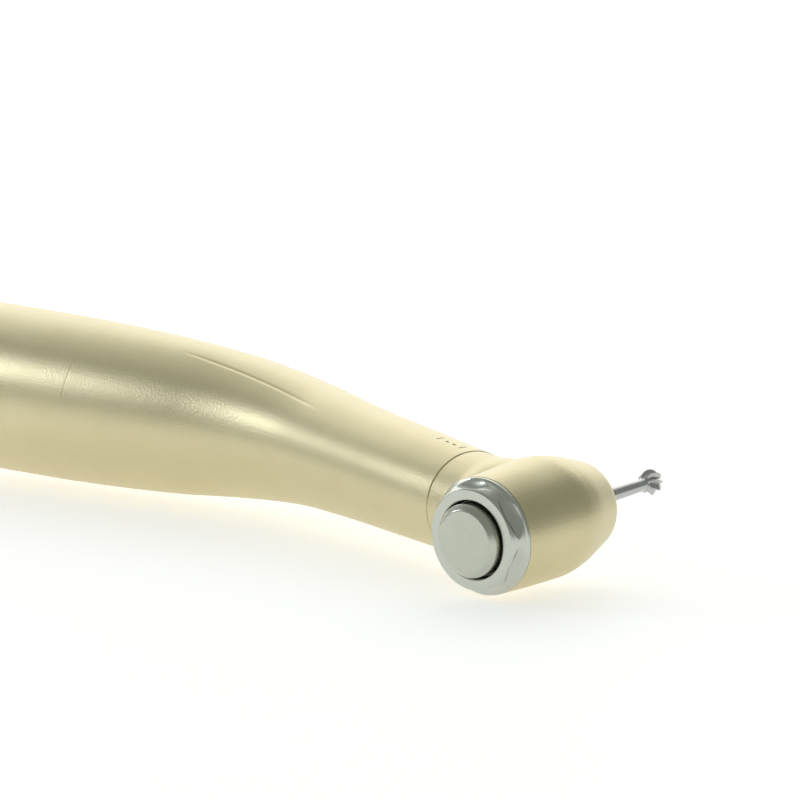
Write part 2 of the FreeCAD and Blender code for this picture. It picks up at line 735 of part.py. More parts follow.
def make_gears():
    front_shaft = math.pi / 2 - NECK_ANGLE
    front_module = size("front_module")
    rear_module = size("rear_module")
    spindle_teeth = int(size("spindle_teeth"))
    front_teeth = int(size("front_gear_teeth"))
    pinion_teeth = int(size("rear_pinion_teeth"))
    ring_teeth = int(size("ring_gear_teeth"))

    # The spindle's pinion is cut from the spindle itself, with a space facing the neck.
    pinion, inner, outer = bevel_body(spindle_teeth, front_module, front_teeth, front_shaft,
                                      size("front_face_width"), 1)
    toothed = feature("spindle_teeth_solid", pinion, HEAD)
    blank = doc.addObject("PartDesign::Body", "spindle_blank")
    blank.Placement = HEAD
    turned(blank, "spindle_blank_turn", [
        ("spindle_rear", "spindle_bore"),
        ("spindle_rear", "spindle_radius"),
        ("spindle_neck_station", "spindle_radius"),
        ("spindle_neck_station", "spindle_neck_radius"),
        ("spindle_waist_station", "spindle_neck_radius"),
        ("spindle_waist_station", "spindle_waist_radius"),
        ("%.6f" % (outer - 0.02), "spindle_waist_radius"),
        ("%.6f" % (outer - 0.02), "spindle_hub_radius"),
        ("spindle_hub_end", "spindle_hub_radius"),
        ("spindle_hub_end", "spindle_radius"),
        ("spindle_front_bearing + spindle_bearing_width - 0.05", "spindle_radius"),
        ("spindle_front_bearing + spindle_bearing_width - 0.05", "spindle_nose_radius"),
        ("spindle_nose_end", "spindle_nose_radius"),
        ("spindle_nose_end", "shank_bore"),
        ("collet_end + 0.1", "shank_bore"),
        ("collet_end + 0.1", "spindle_bore"),
    ])
    joined = doc.addObject("Part::Fuse", "spindle_joined")
    joined.Base = blank
    joined.Tool = toothed
    drill = doc.addObject("Part::Cylinder", "spindle_drill")
    drill.setExpression("Radius", bound("shank_bore"))
    drill.setExpression("Height", bound("spindle_drill_length"))
    drill.Placement = HEAD.multiply(
        FreeCAD.Placement(vector(size("spindle_drill_start"), 0),
                          FreeCAD.Rotation(vector(0, 1), 90)))
    spindle = doc.addObject("Part::Cut", "spindle")
    spindle.Label = "spindle"
    spindle.Base = joined
    spindle.Tool = drill
    parts.append(spindle)

    shaft = size("mid_shaft_radius")
    teeth, inner, outer = bevel_body(front_teeth, front_module, spindle_teeth, front_shaft,
                                     size("front_face_width"), 0)
    blank = along_x(inner - 1, outer + 1, size("gear_blank_radius"))
    hub = along_x(outer - 0.01, outer + size("front_hub_length"), size("front_hub_radius"))
    bore = along_x(inner - 1, outer + 2, shaft + 0.005)
    gear = teeth.common(blank).fuse(hub).cut(bore).removeSplitter()
    parts.append(feature("front_gear", gear, NECK))

    at_crossing = NECK.multiply(FreeCAD.Placement(vector(CROSSING_STATION, 0), turn_z(0)))
    teeth_ratio = ring_teeth / pinion_teeth
    pinion_cone = math.atan2(math.sin(NECK_ANGLE), teeth_ratio - math.cos(NECK_ANGLE))
    ring_cone = pinion_cone + NECK_ANGLE
    distance = rear_module * ring_teeth / 2 / math.sin(ring_cone)
    scale = (distance - size("rear_face_width")) / distance
    flank = tooth_flank(pinion_teeth, pinion_cone, rear_module, False)
    outer = distance * math.cos(pinion_cone)
    wires = [gear_outline(pinion_teeth, flank, axial, 0.0) for axial in (outer * scale, outer)]
    pinion = Part.makeLoft(wires, True, True)
    pinion = pinion.cut(along_x(0, outer + 2, shaft + 0.005)).removeSplitter()
    parts.append(feature("rear_pinion", pinion, at_crossing))
    pinion_end = CROSSING_STATION + outer

    flank = tooth_flank(ring_teeth, ring_cone, rear_module, True)
    outer = distance * math.cos(ring_cone)
    wires = [gear_outline(ring_teeth, flank, -axial, 0.0) for axial in (outer, outer * scale)]
    space = Part.makeLoft(wires, True, True)
    blank = along_x(-outer + 0.001, -outer * scale - 0.001, size("ring_gear_radius"))
    ring = blank.cut(space).removeSplitter()
    parts.append(feature("ring_gear", ring, FreeCAD.Placement(vector(CROSSING_X, 0), turn_z(0))))
    ring_start = CROSSING_X - outer
    ring_end = CROSSING_X - outer * scale
    return pinion_end, ring_start, ring_end


# ---------------------------------------------------------------- shafts, tube and carrier

def make_shafts(pinion_end, ring_start, ring_end):
    turned_part("mid_shaft", NECK, [
        ("mid_shaft_start", "0"),
        ("mid_shaft_start", "mid_shaft_radius"),
        ("mid_front_bearing + mid_bearing_width + 0.02", "mid_shaft_radius"),
        ("mid_front_bearing + mid_bearing_width + 0.02", "mid_shaft_radius + 0.35"),
        ("mid_rear_bearing - 0.02", "mid_shaft_radius + 0.35"),
        ("mid_rear_bearing - 0.02", "mid_shaft_radius"),
        ("%.6f" % (pinion_end + 0.25), "mid_shaft_radius"),
        ("%.6f" % (pinion_end + 0.25), "0"),
    ])
    turned_part("neck_tube", NECK, [
        ("tube_start", "mid_bearing_outside + 0.01"),
        ("tube_start", "tube_radius"),
        ("tube_end", "tube_radius"),
        ("tube_end", "mid_bearing_outside + 0.01"),
        ("mid_rear_bearing - 0.02", "mid_bearing_outside + 0.01"),
        ("mid_rear_bearing - 0.02", "tube_bore"),
        ("mid_front_bearing + mid_bearing_width + 0.02", "tube_bore"),
        ("mid_front_bearing + mid_bearing_width + 0.02", "mid_bearing_outside + 0.01"),
    ])
    carrier = new_body("bearing_carrier", HANDLE)
    seat = "drive_bearing_outside + 0.01"
    turned(carrier, "carrier_turn", [
        ("carrier_start", seat),
        ("carrier_start", "carrier_rear_flange"),
        ("carrier_start + carrier_flange_width", "carrier_rear_flange"),
        ("carrier_start + carrier_flange_width", "carrier_radius"),
        ("carrier_end - carrier_flange_width", "carrier_radius"),
        ("carrier_end - carrier_flange_width", "carrier_front_flange"),
        ("carrier_end", "carrier_front_flange"),
        ("carrier_end", seat),
        ("drive_front_bearing - 0.02", seat),
        ("drive_front_bearing - 0.02", "carrier_bore"),
        ("drive_rear_bearing + drive_bearing_width + 0.02", "carrier_bore"),
        ("drive_rear_bearing + drive_bearing_width + 0.02", seat),
    ])
    holes = new_sketch(carrier, "carrier_pipe_holes", "YZ_Plane",
                       FreeCAD.Placement(vector(0, 0, size("carrier_start") - 1), turn_z(0)))
    draw_circle(holes, "0", "pipe_handle_radius", "pipe_radius + 0.05")
    draw_circle(holes, "0", "-pipe_handle_radius", "pipe_radius + 0.05")
    passage = carrier.newObject("PartDesign::Pocket", "carrier_pipe_passage")
    passage.Profile = holes
    passage.Type = "Length"
    passage.Reversed = True
    passage.setExpression("Length", bound("carrier_end - carrier_start + 2"))

    turned_part("input_shaft", HANDLE, [
        ("input_rear", "input_bore"),
        ("input_rear", "input_radius"),
        ("drive_rear_bearing + drive_bearing_width + 0.02", "input_radius"),
        ("drive_rear_bearing + drive_bearing_width + 0.02", "input_radius + 0.5"),
        ("drive_front_bearing - 0.02", "input_radius + 0.5"),
        ("drive_front_bearing - 0.02", "input_radius"),
        ("cup_floor", "input_radius"),
        ("cup_floor", "0"),
        ("input_bore_end", "0"),
        ("input_bore_end", "input_bore"),
    ])
    turned_part("drive_cup", HANDLE, [
        ("cup_start", "input_radius + 0.01"),
        ("cup_start", "cup_radius - 1.2"),
        ("cup_start + 1.2", "cup_radius"),
        ("%.6f" % (ring_end + 0.1), "cup_radius"),
        ("%.6f" % (ring_end + 0.1), "ring_gear_radius + 0.01"),
        ("%.6f" % (ring_start - 0.02), "ring_gear_radius + 0.01"),
        ("%.6f" % (ring_start - 0.02), "ring_gear_radius - 0.4"),
        ("cup_floor", "ring_gear_radius - 0.4"),
        ("cup_floor", "input_radius + 0.01"),
    ])
    dog = new_body("drive_dog", HANDLE)
    turned(dog, "dog_turn", [
        ("dog_tip", "0"),
        ("dog_tip", "dog_collar_radius - 0.2"),
        ("dog_tip + 0.2", "dog_collar_radius"),
        ("dog_collar_end", "dog_collar_radius"),
        ("dog_collar_end", "dog_stem_radius"),
        ("dog_stem_end", "dog_stem_radius"),
        ("dog_stem_end", "0"),
    ])
    slots = new_sketch(dog, "dog_flats", "YZ_Plane",
                       FreeCAD.Placement(vector(0, 0, size("dog_tip") - 1), turn_z(0)))
    for side in ("", "-"):
        draw_outline(slots, [
            ("-3", side + "dog_tang / 2"),
            ("3", side + "dog_tang / 2"),
            ("3", side + "3"),
            ("-3", side + "3"),
        ])
    flats = dog.newObject("PartDesign::Pocket", "dog_tang_flats")
    flats.Profile = slots
    flats.Type = "Length"
    flats.Reversed = True
    flats.Length = 2.6


# ---------------------------------------------------------------- chuck and bur

def make_chuck():
    collet = new_body("collet", HEAD)
    turned(collet, "collet_turn", [
        ("collet_start", "shank_bore + 0.2"),
        ("collet_start", "collet_radius"),
        ("collet_end", "collet_radius"),
        ("collet_end", "bur_shank_radius + 0.02"),
        ("collet_start + 0.6", "bur_shank_radius + 0.02"),
    ])
    slots = new_sketch(collet, "collet_slots", "XY_Plane")
    draw_outline(slots, [
        ("collet_start - 0.5", "-collet_slot / 2"),
        ("collet_end - 1.2", "-collet_slot / 2"),
        ("collet_end - 1.2", "collet_slot / 2"),
        ("collet_start - 0.5", "collet_slot / 2"),
    ])
    slit = collet.newObject("PartDesign::Pocket", "collet_slit")
    slit.Profile = slots
    slit.Type = "Length"
    slit.setExpression("Length", bound("2 * collet_radius"))
    slit.Reversed = True
    doc.recompute()
    polar(collet, slit, 3)

    turned_part("release_pin", HEAD, [
        ("pin_top", "0"),
        ("pin_top", "pin_head_radius - 0.15"),
        ("pin_top + 0.15", "pin_head_radius"),
        ("pin_top + pin_head_length", "pin_head_radius"),
        ("pin_top + pin_head_length", "pin_radius"),
        ("pin_end - 0.3", "pin_radius"),
        ("pin_end", "pin_radius - 0.2"),
        ("pin_end", "0"),
    ])

    bur = new_body("bur", HEAD)
    ball = "bur_tip_station - bur_ball_radius"
    turned(bur, "bur_turn", [
        ("bur_tip_station - bur_length", "0"),
        ("bur_tip_station - bur_length", "bur_shank_radius - 0.15"),
        ("bur_tip_station - bur_length + 0.15", "bur_shank_radius"),
        ("bur_taper_station", "bur_shank_radius"),
        ("bur_taper_station + 0.7", "bur_taper_radius"),
        (ball + " - sqrt(bur_ball_radius ^ 2 - bur_neck_radius ^ 2)", "bur_neck_radius"),
        (ball, "bur_ball_radius", "bur_ball_radius"),
        ("bur_tip_station", "0", "bur_ball_radius"),
    ])
    flute_plane = FreeCAD.Placement(vector(0, 0, size("bur_tip_station") + 0.1), turn_z(0))
    flute = new_sketch(bur, "bur_flute_outline", "YZ_Plane", flute_plane)
    draw_outline(flute, [
        ("bur_ball_radius * 0.62", "0"),
        ("bur_ball_radius * 1.15", "-bur_ball_radius * 0.1"),
        ("bur_ball_radius * 1.15", "bur_ball_radius * 0.4"),
    ])
    cut = bur.newObject("PartDesign::Pocket", "bur_flute")
    cut.Profile = flute
    cut.Type = "Length"
    cut.setExpression("Length", bound("bur_ball_radius * 2 + 0.1"))
    doc.recompute()
    polar(bur, cut, size("bur_flutes"))


# ---------------------------------------------------------------- springs, rings and pipes

def make_spring(label, frame, start, end, radius, wire, turns):
    """A square-wire helix between two stations, its wire wholly inside them."""
    length = size(end) - size(start) - 2 * size(wire)
    helix = Part.makeHelix(length / turns, length, size(radius))
    half = size(wire)
    corners = [FreeCAD.Vector(size(radius) + x * half, 0, z * half)
               for x, z in ((-1, -1), (1, -1), (1, 1), (-1, 1), (-1, -1))]
    coil = Part.Wire(helix).makePipeShell([Part.makePolygon(corners)], True, True)
    place = FreeCAD.Placement(vector(size(start) + half, 0), FreeCAD.Rotation(vector(0, 1), 90))
    parts.append(feature(label, coil, frame.multiply(place)))


def make_springs():
    flange_end = "cap_front + cap_recess_depth + cap_lip_thickness + 0.03 + button_flange_thickness"
    make_spring("button_spring", HEAD, flange_end + " + 0.03", "spindle_rear_bearing - 0.03",
                "button_spring_radius", "button_spring_wire", 2)
    make_spring("chuck_spring", HEAD, "pin_top + pin_head_length + 0.03", "collet_start - 0.03",
                "chuck_spring_radius", "chuck_spring_wire", 5)
    make_spring("dog_spring", HANDLE, "dog_stem_end + 0.03", "input_bore_end - 0.03",
                "dog_spring_radius", "dog_spring_wire", 5)


def make_rings():
    for label, station in (("front_damping_ring", "spindle_front_bearing + 1"),
                           ("rear_damping_ring", "spindle_rear_bearing + 1.2")):
        turned_part(label, HEAD, ring_outline(
            station + " - 0.25", station + " + 0.25",
            "spindle_bearing_outside + 0.02", "spindle_bearing_outside + 0.38"))


def make_pipes():
    """The water pipe above and the air pipe below the drive train, along handle and neck."""
    for label, side in (("water_pipe", 1), ("air_pipe", -1)):
        neck_points = [NECK.multVec(vector(size(station), 0))
                       for station in ("pipe_waist_station", "pipe_front_station")]
        points = [
            vector(size("carrier_start") - 0.4, 0, side * size("pipe_handle_radius")),
            vector(size("carrier_end") + 0.6, 0, side * size("pipe_handle_radius")),
            vector(size("pipe_bend_x"), 0, side * size("pipe_bend_radius")),
            neck_points[0] + vector(0, 0, side * size("pipe_waist_radius")),
            neck_points[1] + vector(0, 0, side * size("pipe_neck_radius")),
        ]
        pipe = None
        for start, end in zip(points, points[1:]):
            run = Part.makeCylinder(size("pipe_radius"), (end - start).Length, start, end - start)
            if pipe is not None:
                run = pipe.fuse(Part.makeSphere(size("pipe_radius"), start)).fuse(run)
            pipe = run
        parts.append(feature(label, pipe.removeSplitter(), HANDLE))


# ---------------------------------------------------------------- build, check and export

def main():
    make_sleeves()
    make_head()
    make_cap()
    for label, kind, station, frame in (
        ("spindle_front", "spindle", "spindle_front_bearing", HEAD),
        ("spindle_rear", "spindle", "spindle_rear_bearing", HEAD),
        ("mid_front", "mid", "mid_front_bearing", NECK),
        ("mid_rear", "mid", "mid_rear_bearing", NECK),
        ("input_front", "drive", "drive_front_bearing", HANDLE),
        ("input_rear", "drive", "drive_rear_bearing", HANDLE),
    ):
        make_bearing(label, kind, station, frame)
    make_shafts(*make_gears())
    make_chuck()
    make_springs()
    make_rings()
    make_pipes()
    doc.recompute()

    for item in doc.Objects:
        if "Invalid" in item.State or "Error" in item.State:
            raise RuntimeError("%s failed: %s" % (item.Name, item.State))
    os.makedirs("parts", exist_ok=True)
    for part in parts:
        shape = part.Shape
        if shape.isNull() or not shape.isValid() or not shape.Solids:
            raise RuntimeError(part.Label + " has no valid solid")
        print("%-28s %2d solids %4d faces %9.3f mm3"
              % (part.Label, len(shape.Solids), len(shape.Faces), shape.Volume))
    for part in parts:
        part.Shape.exportStep("parts/%s.step" % part.Label)


main()
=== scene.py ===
import json
import math

import bpy
import numpy as np
from mathutils import Euler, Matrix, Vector


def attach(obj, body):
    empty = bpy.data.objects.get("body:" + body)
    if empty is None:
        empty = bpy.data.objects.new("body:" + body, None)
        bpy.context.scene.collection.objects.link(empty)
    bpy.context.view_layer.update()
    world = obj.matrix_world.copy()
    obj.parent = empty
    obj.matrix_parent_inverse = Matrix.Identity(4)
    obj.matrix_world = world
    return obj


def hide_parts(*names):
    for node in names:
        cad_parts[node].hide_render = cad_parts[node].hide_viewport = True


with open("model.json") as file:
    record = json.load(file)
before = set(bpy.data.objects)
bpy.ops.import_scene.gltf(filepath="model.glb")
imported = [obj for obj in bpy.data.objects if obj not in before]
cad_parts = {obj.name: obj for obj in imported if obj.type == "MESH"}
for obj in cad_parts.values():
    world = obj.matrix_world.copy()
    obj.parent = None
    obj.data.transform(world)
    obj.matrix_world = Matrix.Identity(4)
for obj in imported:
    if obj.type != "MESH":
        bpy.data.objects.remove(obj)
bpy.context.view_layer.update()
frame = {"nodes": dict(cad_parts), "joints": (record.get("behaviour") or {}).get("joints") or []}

MM = 0.001

# ------------------------------------------------------------------ places read from the frame

JOINTS = {joint["name"]: joint for joint in frame["joints"]}
HEAD_CENTRE = np.array(JOINTS["spindle_spin"]["pos_m"])
NECK_FORWARD = np.array(JOINTS["mid_spin"]["axis"])
NECK_ANGLE = math.atan2(-NECK_FORWARD[1], NECK_FORWARD[0])


# ------------------------------------------------------------------ material helpers

class Tree:
    """A node tree with short calls for the nodes that the finishes share."""

    def __init__(self, tree):
        self.tree = tree

    def add(self, kind, **settings):
        node = self.tree.nodes.new(kind)
        for name, value in settings.items():
            if name in node.inputs:
                node.inputs[name].default_value = value
            else:
                setattr(node, name, value)
        return node

    def join(self, output, socket):
        self.tree.links.new(output, socket)

    def math(self, operation, first, second):
        node = self.add("ShaderNodeMath", operation=operation)
        for place, value in enumerate((first, second)):
            if isinstance(value, (int, float)):
                node.inputs[place].default_value = value
            else:
                self.join(value, node.inputs[place])
        return node.outputs[0]

    def mix(self, factor, first, second):
        node = self.add("ShaderNodeMix", data_type="RGBA")
        for place, value in ((0, factor), (6, first), (7, second)):
            socket = node.inputs[place]
            if isinstance(value, (int, float, tuple)):
                socket.default_value = value
            else:
                self.join(value, socket)
        return node.outputs[2]

    def spread(self, value, low, high):
        """Carries 0..1 to low..high."""
        node = self.add("ShaderNodeMapRange")
        self.join(value, node.inputs["Value"])
        node.inputs["To Min"].default_value = low
        node.inputs["To Max"].default_value = high
        return node.outputs["Result"]


def new_group(name, inputs, outputs):
    group = bpy.data.node_groups.new(name, "ShaderNodeTree")
    for socket, kind, value in inputs:
        made = group.interface.new_socket(socket, in_out="INPUT", socket_type=kind)
        made.default_value = value
    for socket, kind in outputs:
        group.interface.new_socket(socket, in_out="OUTPUT", socket_type=kind)
    tree = Tree(group)
    source = tree.add("NodeGroupInput")
    target = tree.add("NodeGroupOutput")
    return group, tree, source, target


def blast_grain_group():
    """Bead-blast texture: fine pits over a slow unevenness, as a height and two masks."""
    group, tree, source, target = new_group(
        "BlastGrain",
        [("Grain", "NodeSocketFloat", 9000.0), ("Patches", "NodeSocketFloat", 220.0)],
        [("Height", "NodeSocketFloat"), ("Pits", "NodeSocketFloat"), ("Patch", "NodeSocketFloat")])
    place = tree.add("ShaderNodeTexCoord").outputs["Object"]
    fine = tree.add("ShaderNodeTexNoise", Detail=2.0, Roughness=0.6)
    coarse = tree.add("ShaderNodeTexNoise", Detail=3.0, Roughness=0.5)
    cells = tree.add("ShaderNodeTexVoronoi")
    for texture, scale in ((fine, source.outputs["Grain"]), (coarse, source.outputs["Patches"])):
        tree.join(place, texture.inputs["Vector"])
        tree.join(scale, texture.inputs["Scale"])
    tree.join(place, cells.inputs["Vector"])
    tree.join(tree.math("MULTIPLY", source.outputs["Grain"], 0.7), cells.inputs["Scale"])
    pits = tree.math("SUBTRACT", 1.0, tree.math("MULTIPLY", cells.outputs["Distance"], 1.2))
    height = tree.math("ADD", tree.math("MULTIPLY", fine.outputs["Fac"], 0.6),
                       tree.math("MULTIPLY", pits, 0.4))
    tree.join(height, target.inputs["Height"])
    tree.join(fine.outputs["Fac"], target.inputs["Pits"])
    tree.join(coarse.outputs["Fac"], target.inputs["Patch"])
    return group


def lathe_marks_group():
    """Turning marks: fine rings at even steps along one axis, broken up by noise."""
    group, tree, source, target = new_group(
        "LatheMarks",
        [("Axis", "NodeSocketVector", (1.0, 0.0, 0.0)), ("Pitch", "NodeSocketFloat", 6000.0)],
        [("Height", "NodeSocketFloat"), ("Streaks", "NodeSocketFloat")])
    place = tree.add("ShaderNodeTexCoord").outputs["Object"]
    along = tree.add("ShaderNodeVectorMath", operation="DOT_PRODUCT")
    tree.join(place, along.inputs[0])
    tree.join(source.outputs["Axis"], along.inputs[1])
    rings = tree.add("ShaderNodeTexNoise", noise_dimensions="1D", Detail=2.0, Roughness=0.7)
    tree.join(along.outputs["Value"], rings.inputs["W"])
    tree.join(source.outputs["Pitch"], rings.inputs["Scale"])
    blur = tree.add("ShaderNodeTexNoise", Scale=900.0, Detail=2.0)
    tree.join(place, blur.inputs["Vector"])
    height = tree.math("ADD", rings.outputs["Fac"],
                       tree.math("MULTIPLY", blur.outputs["Fac"], 0.25))
    tree.join(height, target.inputs["Height"])
    tree.join(rings.outputs["Fac"], target.inputs["Streaks"])
    return group


GROUPS = {"grain": blast_grain_group(), "lathe": lathe_marks_group()}


def new_material(name, colour, metallic, roughness, coat=0.0):
    material = bpy.data.materials.new(name)
    material.use_nodes = True
    material.node_tree.nodes.clear()
    tree = Tree(material.node_tree)
    shader = tree.add("ShaderNodeBsdfPrincipled")
    shader.inputs["Base Color"].default_value = (*colour, 1.0)
    shader.inputs["Metallic"].default_value = metallic
    shader.inputs["Roughness"].default_value = roughness
    shader.inputs["Coat Weight"].default_value = coat
    output = tree.add("ShaderNodeOutputMaterial")
    tree.join(shader.outputs[0], output.inputs["Surface"])
    return material, tree, shader


def use_group(tree, name, **values):
    node = tree.add("ShaderNodeGroup", node_tree=GROUPS[name])
    for socket, value in values.items():
        node.inputs[socket].default_value = value
    return node


def bump(tree, shader, height, distance, strength=1.0):
    node = tree.add("ShaderNodeBump", Strength=strength, Distance=distance)
    tree.join(height, node.inputs["Height"])
    tree.join(node.outputs["Normal"], shader.inputs["Normal"])


# ------------------------------------------------------------------ finishes

def champagne_coating():
    """Satin champagne coating over a bead-blasted metal shell."""
    material, tree, shader = new_material("champagne_coating", (0.66, 0.58, 0.34), 1.0, 0.4)
    grain = use_group(tree, "grain", Grain=6500.0, Patches=260.0)
    warm = tree.mix(grain.outputs["Patch"], (0.62, 0.545, 0.325, 1), (0.68, 0.605, 0.37, 1))
    speckled = tree.mix(tree.spread(grain.outputs["Pits"], 0.0, 0.3), warm, (0.80, 0.76, 0.58, 1))
    tree.join(speckled, shader.inputs["Base Color"])
    tree.join(tree.spread(grain.outputs["Pits"], 0.32, 0.48), shader.inputs["Roughness"])
    bump(tree, shader, grain.outputs["Height"], 0.00003, 0.8)
    return material


def turned_metal(name, colour, axis, roughness=(0.2, 0.34), depth=0.000004):
    """Machined metal with turning marks around the axis that it was turned on."""
    material, tree, shader = new_material(name, colour, 1.0, roughness[0])
    marks = use_group(tree, "lathe", Axis=axis)
    tree.join(tree.spread(marks.outputs["Streaks"], *roughness), shader.inputs["Roughness"])
    shade = tree.mix(marks.outputs["Streaks"], tuple(0.9 * c for c in colour) + (1,),
                     tuple(min(1.06 * c, 1) for c in colour) + (1,))
    tree.join(shade, shader.inputs["Base Color"])
    bump(tree, shader, marks.outputs["Height"], depth, 0.5)
    return material


def satin_steel():
    """Fine satin stainless steel of the cap and the push button."""
    material, tree, shader = new_material("satin_steel", (0.52, 0.535, 0.46), 1.0, 0.28)
    grain = use_group(tree, "grain", Grain=15000.0, Patches=500.0)
    tree.join(tree.mix(grain.outputs["Patch"], (0.50, 0.515, 0.445, 1), (0.55, 0.565, 0.49, 1)),
              shader.inputs["Base Color"])
    tree.join(tree.spread(grain.outputs["Pits"], 0.2, 0.36), shader.inputs["Roughness"])
    bump(tree, shader, grain.outputs["Height"], 0.000004, 0.5)
    return material


def red_ring():
    """Red enamelled identification ring under a clear coat."""
    material, tree, shader = new_material("red_ring", (0.5, 0.02, 0.02), 0.0, 0.35, coat=0.6)
    grain = use_group(tree, "grain", Grain=6000.0, Patches=300.0)
    tree.join(tree.mix(grain.outputs["Patch"], (0.42, 0.012, 0.012, 1), (0.56, 0.03, 0.025, 1)),
              shader.inputs["Base Color"])
    bump(tree, shader, grain.outputs["Height"], 0.000004, 0.3)
    return material


def etched_mark():
    """Dark matt strokes where the coating is etched away."""
    material, tree, shader = new_material("etched_mark", (0.09, 0.085, 0.06), 0.3, 0.6)
    grain = use_group(tree, "grain", Grain=14000.0, Patches=900.0)
    tree.join(tree.mix(grain.outputs["Patch"], (0.07, 0.065, 0.05, 1), (0.14, 0.13, 0.09, 1)),
              shader.inputs["Base Color"])
    bump(tree, shader, grain.outputs["Height"], 0.00001, 0.5)
    return material


def seal_rubber():
    """Matt black rubber with a slight bloom."""
    material, tree, shader = new_material("seal_rubber", (0.02, 0.02, 0.02), 0.0, 0.7)
    grain = use_group(tree, "grain", Grain=7000.0, Patches=400.0)
    tree.join(tree.mix(grain.outputs["Patch"], (0.015, 0.015, 0.015, 1), (0.04, 0.04, 0.038, 1)),
              shader.inputs["Base Color"])
    bump(tree, shader, grain.outputs["Height"], 0.00001, 0.4)
    return material


HANDLE_AXIS = (1.0, 0.0, 0.0)
NECK_AXIS = tuple(float(c) for c in NECK_FORWARD)
HEAD_AXIS = (0.0, 1.0, 0.0)


def make_materials():
    """One finish for each group of nodes; turned pieces get marks around their own axis."""
    steel = (0.56, 0.56, 0.56)
    return {
        "champagne": champagne_coating(),
        "satin": satin_steel(),
        "cap": turned_metal("polished_cap_steel", (0.58, 0.60, 0.54), HEAD_AXIS, (0.2, 0.3),
                            0.0000015),
        "button": satin_steel(),
        "etched": etched_mark(),
        "red": red_ring(),
        "rubber": seal_rubber(),
        "handle_steel": turned_metal("machined_handle_steel", steel, HANDLE_AXIS),
        "neck_steel": turned_metal("machined_neck_steel", steel, NECK_AXIS),
        "head_steel": turned_metal("machined_head_steel", steel, HEAD_AXIS),
        "bearing": turned_metal("bearing_steel", (0.66, 0.66, 0.68), HEAD_AXIS, (0.08, 0.18)),
        "cage": turned_metal("cage_bronze", (0.50, 0.33, 0.14), HEAD_AXIS, (0.3, 0.45)),
        "bur": turned_metal("bur_steel", (0.50, 0.50, 0.49), HEAD_AXIS, (0.16, 0.34), 0.000006),
        "spring": turned_metal("spring_steel", (0.42, 0.42, 0.44), HEAD_AXIS, (0.2, 0.4)),
        "pipe": turned_metal("pipe_steel", (0.58, 0.58, 0.58), HANDLE_AXIS, (0.2, 0.3)),
    }


def material_for(node, materials):
    if node in ("head_housing", "neck_sleeve", "rear_sleeve"):
        return materials["champagne"]
    if node in ("head_cap", "push_button"):
        return materials["satin"]
    if node == "colour_ring":
        return materials["red"]
    if node.endswith("damping_ring"):
        return materials["rubber"]
    if node.endswith("ball_cage"):
        return materials["cage"]
    if node.endswith("race"):
        return materials["bearing"]
    if node.endswith("spring"):
        return materials["spring"]
    if node.endswith("pipe"):
        return materials["pipe"]
    if node == "bur":
        return materials["bur"]
    if node in ("spindle", "collet", "release_pin"):
        return materials["head_steel"]
    if node in ("mid_shaft", "front_gear", "rear_pinion", "neck_tube"):
        return materials["neck_steel"]
    return materials["handle_steel"]


MATERIALS = make_materials()
for node_name, node_object in frame["nodes"].items():
    if not node_object.material_slots:
        node_object.data.materials.append(None)
    for material_slot in node_object.material_slots:
        material_slot.material = material_for(node_name, MATERIALS)


# ------------------------------------------------------------------ grids

def grid_object(name, points, material, wrapped=False):
    """A mesh from an array of points (rows, columns, 3), its last column joined to its first
    where it is wrapped round.
    """
    rows, columns = points.shape[:2]
    index = np.arange(rows * columns).reshape(rows, columns)
    if wrapped:
        index = np.hstack([index, index[:, :1]])
    faces = np.stack([index[:-1, :-1], index[:-1, 1:], index[1:, 1:], index[1:, :-1]], -1)
    mesh = bpy.data.meshes.new(name)
    mesh.from_pydata(points.reshape(-1, 3), [], faces.reshape(-1, 4))
    mesh.shade_smooth()
    mesh.materials.append(material)
    made = bpy.data.objects.new(name, mesh)
    bpy.context.scene.collection.objects.link(made)
    return made


def fine_outline(corners, step=0.05, rounding=0.05):
    """An outline of (station, radius) corners in millimetres, cut into short steps.

    Each corner is rounded: close to it, the outline keeps a fraction of its length on each side
    and follows a quadratic curve between.
    """
    corners = np.array(corners, float)
    before, after = corners[1:-1] - corners[:-2], corners[2:] - corners[1:-1]
    lengths = np.hypot(*before.T), np.hypot(*after.T)
    keep = np.minimum(rounding, 0.4 * np.minimum(*lengths))[:, None]
    start = corners[1:-1] - before / lengths[0][:, None] * keep
    end = corners[1:-1] + after / lengths[1][:, None] * keep
    turn = np.linspace(0, 1, 5)[None, :, None]
    bends = ((1 - turn) ** 2 * start[:, None] + 2 * turn * (1 - turn) * corners[1:-1, None]
             + turn ** 2 * end[:, None])
    path = np.vstack([corners[:1], bends.reshape(-1, 2), corners[-1:]])
    length = np.concatenate([[0], np.cumsum(np.hypot(*np.diff(path, axis=0).T))])
    marks = np.unique(np.concatenate([length, np.arange(0, length[-1], step)]))
    return np.stack([np.interp(marks, length, path[:, k]) for k in (0, 1)], -1)


def smooth_step(value):
    value = np.clip(value, 0, 1)
    return value * value * (3 - 2 * value)


def head_revolved(name, stations, radii, angles, material):
    """A surface round the head's axis: rows are stations towards the bur, columns are angles.

    A point is the head centre, plus the station along the axis, plus the radius times the
    direction of its angle, measured from +X towards +Z.
    """
    across = np.stack([np.cos(angles), 0 * angles, np.sin(angles)], -1)
    points = (HEAD_CENTRE + MM * (stations[:, None, None] * np.array(HEAD_AXIS)
                                  + radii[..., None] * across))
    return grid_object(name, points, material, wrapped=True)


# ------------------------------------------------------------------ cap, button and bur

SCALLOPS = 6
FIRST_SCALLOP = math.radians(35.0)


